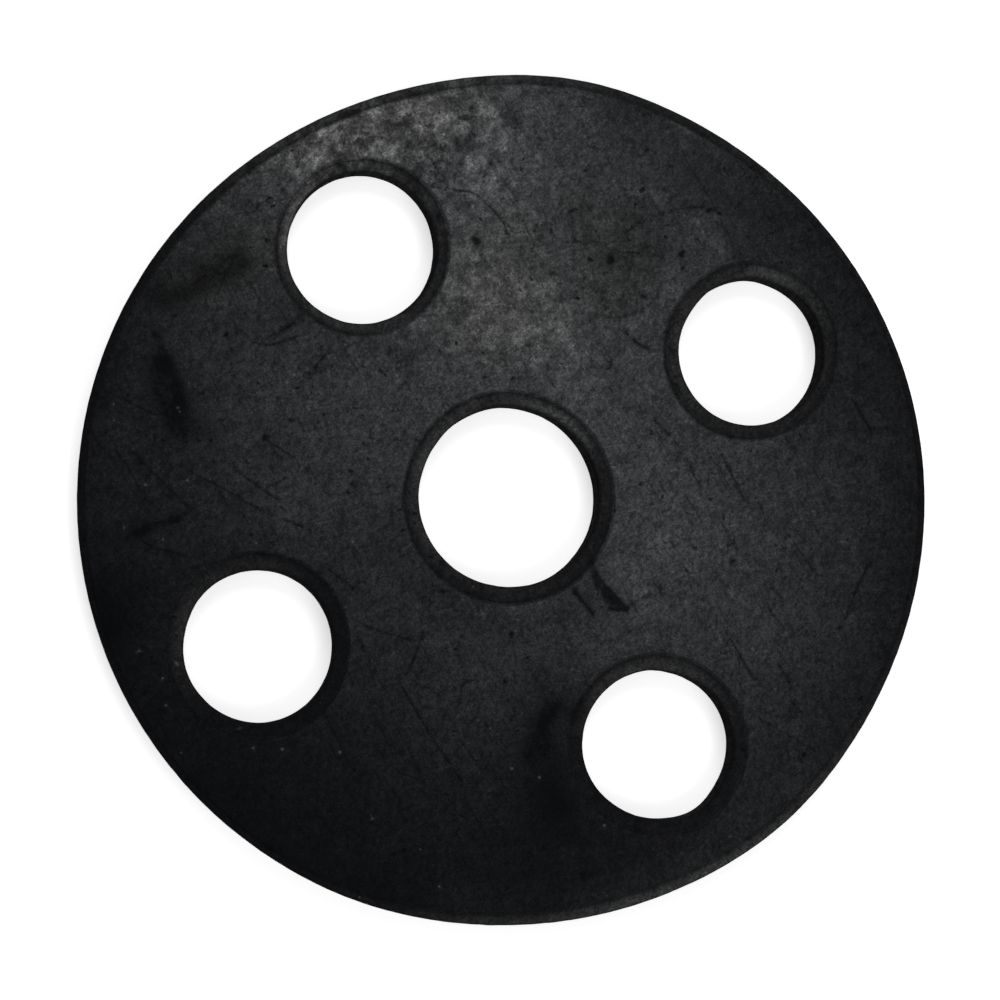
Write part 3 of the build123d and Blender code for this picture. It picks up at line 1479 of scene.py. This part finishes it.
@dataclass(frozen=True)
class Studio:
    """The floor, soft lamps, even surround and camera."""

    lamps: tuple[Lamp, ...]
    floor: PaleFloor
    white: Colour = (1.0, 1.0, 1.0, 1.0)
    surround: float = 0.25
    backdrop: float = 0.75
    floor_width: float = 6000.0
    floor_drop: float = 0.02
    tilt_deg: float = 7.9
    camera_around_deg: float = 220.57
    picture_up_deg: float = 103.97
    camera_distance: float = 290.0
    nearest_seen: float = 10.0
    lens: float = 99.3
    sideways: float = -0.547
    upwards: float = -0.20

    def lay_floor(self) -> bpy.types.Object:
        """A flat square under the gasket, a hair below its back face.

        Returns:
            The floor's object.
        """
        half = 0.5 * self.floor_width * METRES
        low = -self.floor_drop * METRES
        corners = [(-half, -half, low), (half, -half, low), (half, half, low), (-half, half, low)]
        mesh = bpy.data.meshes.new("floor")
        mesh.from_pydata(corners, [], [(0, 1, 2, 3)])
        mesh.materials.append(self.floor.make())
        floor = into_scene("floor", mesh)
        return floor

    def surround_with_light(self) -> None:
        """An even white surround: of low strength as light, and of the backdrop's where it is seen."""
        world = bpy.data.worlds.new("surround")
        world.use_nodes = True
        bench = NodeBench(world.node_tree)
        more = self.backdrop - self.surround
        strength = bench.maths("MULTIPLY_ADD", bench.seen_directly(), more, self.surround)
        bench.feed(world.node_tree.nodes["Background"], Color=self.white, Strength=strength)
        bpy.context.scene.world = world

    def set_camera(self) -> bpy.types.Object:
        """Adds the camera, which looks down past the bore with the given angle upright.

        Its back points along (sin tilt cos around, sin tilt sin around, cos tilt), and it stands
        its distance that way from the origin, then a little sideways and up or down.

        Returns:
            The camera's object.
        """
        tilt, around = math.radians(self.tilt_deg), math.radians(self.camera_around_deg)
        back = Vector((math.sin(tilt) * math.cos(around), math.sin(tilt) * math.sin(around), math.cos(tilt)))
        upright = math.radians(self.picture_up_deg)
        up = Vector((math.cos(upright), math.sin(upright), 0.0))
        up = (up - back * up.dot(back)).normalized()
        right = up.cross(back)
        data = bpy.data.cameras.new("camera")
        data.lens = self.lens
        data.clip_start = self.nearest_seen * METRES
        camera = into_scene("camera", data)
        spot = (back * self.camera_distance + right * self.sideways + up * self.upwards) * METRES
        axes = Matrix((right, up, back)).transposed().to_4x4()
        camera.matrix_world = Matrix.Translation(spot) @ axes
        bpy.context.scene.camera = camera
        return camera

    def build(self) -> None:
        """Adds everything round the gasket."""
        self.lay_floor()
        self.surround_with_light()
        for lamp in self.lamps:
            lamp.light()
            LOG.info("lamp %s: %.1f W", lamp.name, lamp.watts)
        self.set_camera()
        bpy.context.scene.view_settings.view_transform = "Standard"


# The stretch of a hole's edge whose corner gets painted shade, as dark as the wall, on the side turned away
# from the main lamps, and the shorter one of the second bolt hole
PAINTED_SHADE_SIDE = swells((22.0, 62.0, 1.0))
SHORT_PAINTED_SHADE_SIDE = swells((2.0, 42.0, 1.0))

# The lip and crease shades in these tables are bloom, pale dust in part and painted highlight in part,
# lighter on the sides whose slopes face the lamps
RIM = EdgeLook(
    lip=Shades(0.02, swells(
        (112.0, 26.0, 0.2), (306.0, 27.0, 0.29), (59.0, 35.0, 0.07), (136.0, 16.0, 0.06),
        (346.0, 23.0, 0.05),
    )),
    crease=Shades(0.024, swells(
        (164.0, 25.0, 0.018), (112.0, 28.0, 0.13), (306.0, 32.0, 0.06), (59.0, 35.0, 0.045),
        (344.0, 22.0, 0.02),
    )),
    swells=swells(
        (94.0, 14.0, 0.36), (324.5, 15.0, 0.36), (165.0, 24.0, -0.08), (126.0, 30.0, -0.42),
        (44.0, 50.0, 0.2), (232.0, 38.0, 0.2), (262.0, 10.0, 0.05), (284.0, 14.0, -0.1),
    ),
    ledge_swells=swells((304.0, 42.0, 0.68), (344.0, 20.0, 0.14), (124.0, 44.0, 0.46), (64.0, 34.0, 0.3)),
)
BORE = EdgeLook(
    lip=Shades(0.07, swells((74.0, 28.0, 0.33), (170.0, 50.0, 0.19), (250.0, 40.0, 0.03))),
    crease=Shades(0.045, swells((100.0, 60.0, 0.05))),
    swells=swells((40.0, 35.0, -0.11), (110.0, 12.0, 0.1), (166.0, 22.0, -0.1), (314.0, 18.0, 0.12)),
    ledge_swells=swells((14.0, 60.0, 0.2), (230.0, 60.0, 0.2), (300.0, 50.0, 0.2)),
    painted_shade_swells=PAINTED_SHADE_SIDE,
)
# The bolt holes, anticlockwise from the first
HOLES = (
    EdgeLook(
        lip=Shades(0.11, swells((84.0, 28.0, 0.22), (190.0, 40.0, 0.1))),
        crease=Shades(0.06, swells((60.0, 30.0, 0.1), (220.0, 40.0, 0.02))),
        swells=swells(
            (60.0, 60.0, -0.12), (240.0, 60.0, -0.08), (0.0, 40.0, -0.22), (104.0, 15.0, 0.13),
            (160.0, 20.0, -0.15), (255.0, 40.0, 0.13),
        ),
        ledge_swells=swells((130.0, 90.0, 0.12), (236.0, 50.0, 0.22)),
        painted_shade_swells=PAINTED_SHADE_SIDE,
    ),
    EdgeLook(
        lip=Shades(0.1, swells((174.0, 38.0, 0.36), (110.0, 35.0, 0.16), (284.0, 45.0, 0.08))),
        crease=Shades(0.055, swells((132.0, 32.0, 0.1), (314.0, 25.0, 0.11))),
        swells=swells((174.0, 38.0, -0.28), (80.0, 45.0, 0.2), (292.0, 42.0, 0.19)),
        ledge_swells=swells((194.0, 90.0, -0.25), (284.0, 70.0, -0.12)),
        painted_shade_swells=SHORT_PAINTED_SHADE_SIDE,
    ),
    EdgeLook(
        lip=Shades(0.03, swells((178.0, 42.0, 0.13), (110.0, 45.0, 0.06))),
        crease=Shades(0.03, swells((172.0, 50.0, 0.06))),
        swells=swells((20.0, 45.0, -0.17), (180.0, 22.0, -0.16), (292.0, 35.0, 0.14)),
        ledge_swells=swells((74.0, 90.0, 0.15), (105.0, 35.0, 0.15)),
        painted_shade_swells=PAINTED_SHADE_SIDE,
    ),
    EdgeLook(
        lip=Shades(0.038, swells((99.0, 48.0, 0.2), (164.0, 30.0, 0.05))),
        crease=Shades(0.042, swells((92.0, 30.0, 0.04), (314.0, 30.0, 0.01))),
        swells=swells(
            (40.0, 70.0, 0.05), (86.0, 22.0, -0.12), (256.0, 30.0, -0.2), (316.0, 18.0, 0.3),
            (5.0, 35.0, 0.1),
        ),
        ledge_swells=swells((90.0, 80.0, 0.18)),
        painted_shade_swells=PAINTED_SHADE_SIDE,
    ),
)

# A tangle of rubs above the middle, where the haze is thinner and of a neutral grey
TANGLE = (
    (-1.2, 31.4), (5.8, 31.0), (0.4, 28.4), (7.8, 28.6), (1.2, 25.6), (8.6, 26.0), (2.4, 23.2),
    (8.2, 23.6), (4.4, 21.8),
)
STROKES = (
    # The haze: broad patches, real bloom in part and in part a painted sheen that makes the face lighter
    # towards +Y, then bands and rubs, and last fine pale scrapes
    *strokes(
        Wear.BLOOM,
        (0.02, 90.0, (0.0, 0.0)), (0.29, 27.5, (3.3, 9.1)), (0.12, 16.0, (22.2, 3.1)),
        (0.63, 9.4, (-29.5, 32.0), (-22.0, 38.6)), (0.05, 4.5, (-37.5, 18.5)), (0.22, 11.0, (-6.5, 26.4)),
        (0.12, 12.0, (7.8, 39.2)), (0.15, 6.0, (-7.3, 16.6), (-0.8, 18.9)), (0.09, 12.6, (-19.7, 2.0)),
        (0.07, 11.0, (-37.0, 12.0)), (0.02, 12.0, (-37.0, -3.0)), (0.05, 7.0, (-29.8, 10.6)),
        (0.03, 7.0, (-18.4, -5.1)), (0.05, 12.0, (-2.6, -19.2)), (0.05, 11.0, (24.2, -9.4)),
        (0.05, 15.0, (34.9, -19.6)), (0.07, 7.0, (13.3, 22.4)),
        (-0.075, 2.2, *TANGLE),
        (-0.04, 2.6, (2.0, 29.6), (6.6, 28.2), (4.0, 25.8)), (-0.04, 4.5, (12.0, 37.5), (19.0, 34.5)),
        (0.05, 2.0, (9.6, 32.4), (12.5, 33.0), (15.0, 32.6)),
        (0.06, 1.0, (11.2, 26.7), (11.0, 24.4), (10.2, 22.4), (8.4, 20.8), (6.4, 19.9)),
        (0.1, 4.0, (-12.0, 41.0), (-5.0, 42.4)),
        (-0.07, 2.6, (-10.4, -7.2), (-6.4, -11.1), (0.0, -12.8), (6.4, -11.1), (9.8, -8.2)),
        (0.03, 4.0, (-42.0, -6.0), (-40.0, -15.0)), (0.03, 5.0, (-31.4, -12.2)),
        (-0.018, 1.8, (-40.5, 14.5), (-43.0, 0.0), (-41.0, -13.5), (-36.0, -23.5)),
        (0.02, 3.0, (-30.2, -18.5), (-31.0, -24.0)),
        (0.025, 2.6, (5.0, -42.0), (17.0, -39.0), (28.0, -32.5), (36.0, -23.0)),
        (0.14, 6.5, (-6.1, 37.5)), (0.11, 6.5, (-9.6, 22.0)), (0.05, 3.0, (5.4, -10.8)),
        (0.03, 1.6, (17.0, -39.6), (28.0, -33.0)), (0.01, 6.0, (30.0, -28.0)),
        (-0.05, 3.6, (9.0, -20.5), (9.6, -26.0), (12.5, -29.5)),
        (-0.035, 2.0, (-37.5, 4.0), (-35.5, -0.5)),
        (-0.05, 1.8, (-39.4, 10.8), (-36.6, 12.9), (-34.1, 14.9), (-32.6, 16.6)),
        (0.05, 0.9, (-35.7, 11.5), (-32.0, 13.0)), (0.06, 0.8, (-37.7, 20.0), (-36.0, 21.2)),
        (0.2, 0.45, (6.3, 34.7), (7.4, 34.5)), (0.12, 0.45, (2.0, 30.2), (2.7, 30.7)),
        (0.1, 0.22, (11.8, 33.4), (13.3, 32.5)), (0.08, 0.22, (13.8, 32.0), (16.1, 30.5)),
        (0.07, 0.2, (32.6, 2.3), (34.0, 0.4)), (0.16, 0.22, (6.9, 42.8), (8.2, 42.6), (9.7, 42.2)),
        (0.12, 0.2, (9.4, 40.6), (9.6, 41.6), (10.6, 41.9)), (0.1, 0.2, (8.7, 39.8), (9.0, 41.2)),
        (0.12, 0.22, (12.4, 33.1), (13.4, 32.0)), (0.02, 6.0, (37.8, -10.6)), (-0.09, 3.0, (-27.8, 26.6)),
        (0.03, 4.0, (-2.2, -12.6)), (0.035, 3.5, (-8.3, 16.3), (-15.5, 14.4)), (-0.03, 3.0, (0.8, 19.1)),
        (0.14, 1.3, (-25.1, 33.7), (-23.0, 35.5), (-21.2, 36.7)),
    ),
    # Neutral grey patches
    *strokes(
        Wear.WARMTH,
        (0.75, 2.6, *TANGLE),
        (0.85, 3.6, (-38.6, 11.5), (-32.0, 17.2)), (0.4, 5.0, (-36.0, 21.0), (-30.5, 26.0)),
    ),
    # Places where the haze is blotchy
    *strokes(
        Wear.FLECK,
        (1.3, 8.5, (-28.0, 32.0), (-16.0, 35.0)), (0.6, 8.0, (-10.0, 16.5), (-1.5, 17.5)),
    ),
    # Dark smears, with the strongest beside the scratches
    *strokes(
        Wear.GRIME,
        (0.85, 0.85, (-38.0, 4.9), (-36.9, 3.6), (-36.0, 2.4), (-35.5, 0.9)),
        (0.58, 1.0, (-38.9, 4.4), (-38.2, 2.6), (-37.2, 0.6), (-35.8, -1.0), (-34.4, -2.1)),
        (0.42, 1.2, (-34.8, 0.6), (-33.4, -0.4), (-31.6, -1.2)),
        (0.25, 1.2, (-35.0, -1.0), (-33.0, -2.4)), (0.62, 0.45, (-39.3, 7.0), (-38.6, 6.0)),
        (0.35, 0.6, (-40.4, 8.0), (-39.6, 7.0)),
        (0.5, 1.2, (-39.6, 10.8), (-36.6, 12.6), (-34.1, 14.6), (-32.4, 16.3)),
        (0.46, 1.1, (-36.5, 14.6), (-33.4, 17.0)), (0.22, 1.3, (-38.0, 15.6), (-34.0, 18.4)),
        (0.4, 1.1, (-39.4, -14.3), (-37.6, -13.8), (-35.6, -12.9)),
        (0.64, 0.6, (-36.2, -13.1), (-34.6, -12.0), (-32.8, -10.9)),
        (0.52, 0.42, (-33.2, -11.1), (-32.1, -10.1), (-31.3, -9.2)),
        (0.34, 0.4, (-38.5, -12.7), (-36.9, -12.1), (-35.3, -11.0)),
        (0.55, 1.25, (10.0, -19.9), (9.2, -21.6), (9.0, -23.2), (8.7, -25.2)),
        (0.25, 0.7, (9.7, -20.6), (9.1, -22.2)), (0.34, 2.2, (10.6, -24.5), (12.4, -28.5)),
        (0.5, 0.8, (12.5, -18.9), (11.9, -20.6)),
        (0.75, 0.42, (10.0, -4.5), (10.8, -5.6), (12.1, -6.8), (13.5, -7.8)),
        (1.1, 0.42, (12.4, -7.1), (13.5, -7.8), (14.7, -8.3)),
        (0.55, 0.3, (10.5, -5.9), (11.6, -7.2), (13.1, -8.5)), (0.8, 0.24, (13.3, -8.8), (14.7, -8.4)),
        (0.85, 0.28, (9.0, -7.9), (10.1, -8.7), (11.4, -9.7)), (0.32, 1.0, (10.0, -7.0), (12.3, -8.9)),
        (0.34, 1.8, (9.5, 38.4), (13.5, 36.8), (17.0, 35.8)), (0.4, 0.6, (18.2, 32.9), (19.8, 31.3)),
    ),
    # Thin chalky lines
    *strokes(
        Wear.CHALK,
        (0.5, 0.1, (-3.3, 39.0), (-2.1, 41.0), (-1.0, 42.1)), (0.3, 0.1, (7.7, 41.9), (9.6, 42.1)),
        (0.25, 0.25, (-27.4, -10.9), (-26.8, -9.7)),
    ),
)

SCRATCHES = scratches(
    (0.3, 0.05, 0.85, (-13.2, 29.7), (-10.9, 29.8), (-7.9, 28.0), (-6.9, 26.8)),
    (0.28, 0.05, 0.8, (-21.9, 10.2), (-23.0, 7.1)),
    (0.5, 0.07, 0.9, (-28.5, 9.6), (-27.1, 10.7), (-26.0, 11.9)),
    (0.28, 0.05, 0.8, (-29.5, 8.8), (-27.6, 9.1), (-25.1, 10.8)),
    (0.24, 0.04, 0.7, (-43.0, 0.1), (-37.4, -1.0)), (0.24, 0.04, 0.7, (-34.1, -5.4), (-26.8, -7.1)),
    (0.24, 0.04, 0.7, (-38.6, -5.3), (-33.0, -8.7)),
    (0.28, 0.05, 0.8, (-27.8, -4.5), (-24.9, -5.7), (-23.1, -6.3)),
    (0.24, 0.04, 0.7, (-24.9, -5.7), (-22.9, -3.9)), (0.24, 0.04, 0.7, (-25.9, -0.6), (-22.6, -1.7)),
    (0.2, 0.04, 0.65, (-39.3, -6.3), (-36.3, -9.7)),
    (0.28, 0.05, 0.8, (-26.8, -7.3), (-23.8, -7.9), (-19.2, -8.5)),
    (0.3, 0.04, 0.8, (-35.6, -13.9), (-34.4, -14.2), (-35.0, -14.9)),
    (0.26, 0.04, 0.8, (-34.4, -14.4), (-32.9, -14.2), (-31.1, -14.3)),
    (0.2, 0.03, 0.55, (-11.4, -18.3), (-9.3, -20.9), (-7.1, -23.1)),
    (0.26, 0.05, 0.85, (-6.0, -21.9), (-1.9, -26.0), (2.3, -29.8)),
    (0.32, 0.05, 0.75, (-5.3, -15.8), (-5.35, -17.3), (-5.6, -19.1), (-5.9, -20.5)),
    (0.28, 0.05, 0.8, (-11.3, -16.7), (-8.7, -16.9), (-5.8, -16.9)),
    (0.2, 0.04, 0.65, (0.0, -18.7), (0.1, -22.4)), (0.2, 0.04, 0.65, (-0.9, -23.0), (-1.3, -25.0)),
    (0.24, 0.04, 0.7, (-3.6, -21.3), (-2.1, -21.8)), (0.24, 0.04, 0.7, (-7.0, -28.4), (-5.2, -30.5)),
    (0.24, 0.04, 0.7, (-3.7, -27.9), (-2.1, -30.0)), (0.22, 0.03, 0.65, (-13.1, -33.4), (-10.3, -36.1)),
    (0.2, 0.03, 0.6, (-13.2, -26.3), (-9.7, -30.5), (-8.2, -32.5)),
    (0.2, 0.03, 0.5, (-7.6, -25.9), (-5.3, -28.8)), (0.24, 0.04, 0.7, (1.2, -25.8), (4.1, -28.2)),
    (0.2, 0.04, 0.65, (-18.0, -35.0), (-16.0, -36.2)), (0.2, 0.04, 0.65, (-8.1, -37.4), (-7.5, -39.0)),
    (0.2, 0.04, 0.65, (-4.4, -32.2), (-3.0, -33.9)), (0.24, 0.04, 0.7, (-16.3, -12.0), (-13.4, -13.3)),
    (0.45, 0.04, 0.75, (5.4, 30.2), (6.9, 31.9), (8.3, 32.9), (10.3, 34.0), (12.3, 34.7), (14.2, 34.8)),
    (0.24, 0.03, 0.7, (5.0, 27.9), (7.2, 28.3)),
    (0.36, 0.03, 0.5, (10.3, 26.7), (10.1, 24.7), (9.4, 23.1), (7.8, 21.7), (6.3, 21.0), (4.2, 20.9)),
    (0.4, 0.06, 1.0, (7.4, 20.1), (8.8, 19.2), (10.8, 18.6)),
    (0.28, 0.04, 0.8, (13.0, 11.6), (16.4, 9.3), (19.4, 6.0)),
    (0.28, 0.04, 0.8, (20.8, 9.8), (24.3, 5.8)), (0.28, 0.04, 0.8, (32.8, 19.4), (35.8, 16.3)),
    (0.45, 0.08, 1.0, (10.2, -4.6), (10.9, -5.6), (12.2, -6.8), (13.5, -7.7), (14.8, -8.2)),
    (0.45, 0.05, 1.0, (9.1, -7.9), (10.1, -8.7), (11.4, -9.7)),
    (0.24, 0.04, 0.7, (15.0, -8.0), (16.6, -6.3)), (0.34, 0.04, 0.8, (17.1, -5.0), (18.2, -5.9)),
    (0.45, 0.03, 0.7, (-38.7, -5.3), (-36.0, -7.0), (-33.3, -8.5), (-31.3, -9.7), (-29.7, -10.7)),
    (0.3, 0.04, 0.9, (-40.7, -4.9), (-39.5, -6.5)),
    (0.3, 0.05, 0.85, (38.8, 2.6), (38.0, -1.1), (37.7, -3.6)),
    (0.24, 0.04, 0.7, (32.0, -10.2), (33.4, -11.6), (33.9, -13.2), (35.6, -14.5)),
    (0.24, 0.04, 0.7, (19.4, -2.4), (21.6, -4.1)), (0.28, 0.05, 0.8, (26.2, -8.7), (29.7, -12.2)),
    (0.24, 0.04, 0.7, (29.3, -4.5), (31.5, -6.3)), (0.24, 0.04, 0.7, (29.7, 3.4), (33.1, 0.5)),
    (0.24, 0.04, 0.7, (21.4, -30.0), (22.2, -32.1)), (0.24, 0.04, 0.7, (30.9, -16.0), (37.5, -17.8)),
    (0.3, 0.05, 0.85, (6.9, 15.6), (7.1, 16.6)), (0.3, 0.05, 0.85, (1.0, 13.1), (1.8, 12.3)),
    (0.2, 0.03, 0.5, (13.8, 11.4), (16.2, 8.9), (18.6, 6.8)),
    (0.2, 0.03, 0.5, (18.2, 4.6), (21.6, 1.1), (22.8, -0.5)),
    (0.2, 0.03, 0.5, (29.6, -0.1), (31.4, -2.1)), (0.22, 0.03, 0.5, (26.0, -9.2), (26.4, -8.1)),
    (0.24, 0.03, 0.5, (14.9, 2.0), (15.9, 0.3)), (0.24, 0.03, 0.5, (17.5, 0.0), (18.3, -1.1)),
    (0.24, 0.03, 0.5, (19.1, 2.3), (20.0, 1.5)), (0.24, 0.03, 0.45, (19.4, 0.5), (20.4, -0.6)),
    (0.24, 0.03, 0.5, (14.3, -5.2), (15.1, -6.0)), (0.26, 0.03, 0.55, (17.3, -4.8), (18.4, -5.9)),
    (0.3, 0.04, 0.6, (16.2, -6.9), (16.9, -6.3)), (0.36, 0.05, 1.0, (-23.1, 7.1), (-21.8, 10.3)),
    (0.26, 0.03, 0.5, (-9.1, 32.4), (-7.3, 30.9)), (0.34, 0.04, 0.7, (-32.8, 8.7), (-32.1, 8.5)),
)

PITS = tuple(Pit(*spot) for spot in (
    (-30.3, 16.8, 0.45), (13.4, 34.8, 0.45), (-13.7, 38.5, 0.6), (-10.3, 33.4, 0.8), (-9.9, 27.4, 0.4),
    (-9.8, 25.1, 1.0), (-30.4, 16.9, 0.5), (-32.5, 8.9, 0.6), (-23.8, 2.0, 0.6), (-20.7, 3.4, 0.4),
    (-21.1, 2.5, 0.4), (-16.8, 4.3, 0.4), (-16.0, 1.5, 0.4), (-15.2, 0.1, 0.4), (-16.6, -1.6, 0.6),
    (-16.0, -2.9, 0.9), (-16.3, -3.8, 0.5), (-27.0, 7.3, 0.4), (-24.0, 5.4, 0.5), (-16.2, 9.3, 0.6),
    (-15.6, 9.0, 0.5), (-5.5, 11.4, 0.4), (-31.1, 23.1, 0.4), (-22.7, 9.9, 0.5), (-31.3, -2.1, 0.4),
    (-26.0, -0.4, 0.7), (-9.2, 14.1, 0.4), (-21.1, -2.5, 0.5), (-37.7, -6.2, 0.4), (-0.9, 30.7, 0.7),
    (-2.4, 28.1, 0.6), (-4.1, 27.7, 0.5), (-2.5, 24.4, 0.7), (4.4, 26.8, 1.1), (2.3, 26.3, 0.6),
    (8.8, 24.0, 0.8), (11.6, 29.4, 0.8), (12.1, 28.0, 0.5), (8.2, 38.2, 0.7), (-0.4, 35.4, 0.7),
    (-4.4, 37.8, 0.4), (5.4, 39.2, 0.6), (-1.8, 39.9, 0.5), (24.3, 35.5, 0.5), (9.8, 15.2, 0.4),
    (11.9, 10.9, 0.4), (6.9, 15.6, 0.4), (2.0, 22.0, 0.4), (20.7, 5.0, 0.6), (13.2, 34.5, 0.5),
    (14.5, 34.6, 0.4), (5.9, 34.9, 0.7), (9.5, 30.7, 0.4), (4.2, 13.6, 0.4), (-13.4, -13.3, 0.6),
    (-1.3, -15.3, 0.6), (-6.4, -8.0, 0.6), (-4.4, -11.3, 0.7), (-1.8, -38.1, 0.6), (-33.8, -18.4, 0.4),
    (-24.9, -10.5, 0.4), (3.7, -13.9, 0.7), (2.6, -13.4, 0.5), (8.2, -18.4, 0.6), (17.7, -5.1, 0.4),
    (20.3, -0.4, 0.6), (24.5, -0.8, 0.7), (37.4, -4.7, 0.7), (33.4, -11.6, 0.4), (36.7, -18.6, 0.6),
    (5.9, -15.8, 0.4), (4.2, -18.8, 0.5),
))

SPECKS = tuple(Pit(*spot, uneven=0.2, middle_stain=1.0, stain_swing=0.0) for spot in (
    (-37.6, -13.0, 0.2), (-33.5, -13.2, 0.2), (-24.2, -11.2, 0.2), (-33.0, -24.8, 0.2),
    (-30.0, -26.9, 0.25), (-29.0, -25.2, 0.25), (-29.0, -29.5, 0.2), (-19.3, -31.6, 0.2),
    (-16.4, -31.0, 0.3), (-10.6, -29.9, 0.3), (-21.1, -29.9, 0.2), (-14.6, -8.6, 0.3), (0.3, -12.5, 0.3),
    (-7.7, -18.7, 0.2), (-14.3, -41.0, 0.2), (3.9, -23.8, 0.2), (2.7, -40.8, 0.25), (-5.7, -35.7, 0.2),
    (17.9, -30.7, 0.3), (7.1, -27.3, 0.3), (10.1, -27.5, 0.3), (34.0, -9.7, 0.2), (-36.6, -8.2, 0.3),
    (-32.6, -6.7, 0.25), (-41.8, -1.0, 0.2), (-35.4, 0.3, 0.2),
))

LAMPS = (
    Lamp("lower_right_lamp", 314.0, 38.0, 2.3),
    Lamp("upper_lamp", 100.0, 42.0, 2.25),
    Lamp("left_lamp", 200.0, 40.0, 0.35),
)


def main() -> None:
    """Builds the gasket and the studio from the frame's own sizes, and reports each."""
    logging.basicConfig(level=logging.INFO, format="%(name)s: %(message)s")
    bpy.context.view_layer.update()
    low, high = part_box(NODE)
    mounts = {mount["name"]: mount["dims"] for mount in frame["record"]["mounts"]}
    gasket = Gasket(
        outside_radius=float(high[0]) / METRES,
        thickness=float(high[2] - low[2]) / METRES,
        bore_radius=mounts["bore"]["r_mm"],
        bolt_circle_radius=0.5 * mounts["bolt_holes"]["pcd_mm"],
        bolt_hole_radius=mounts["bolt_holes"]["hole_r_mm"],
        bolt_hole_count=mounts["bolt_holes"]["count"],
        face=FrontFace(STROKES, SCRATCHES, PITS, SPECKS),
        worn_finish=WornRubber(),
        cut_finish=CutRubber(),
    )
    gasket.build()
    Studio(LAMPS, PaleFloor()).build()


if __name__ == "__main__":
    main()
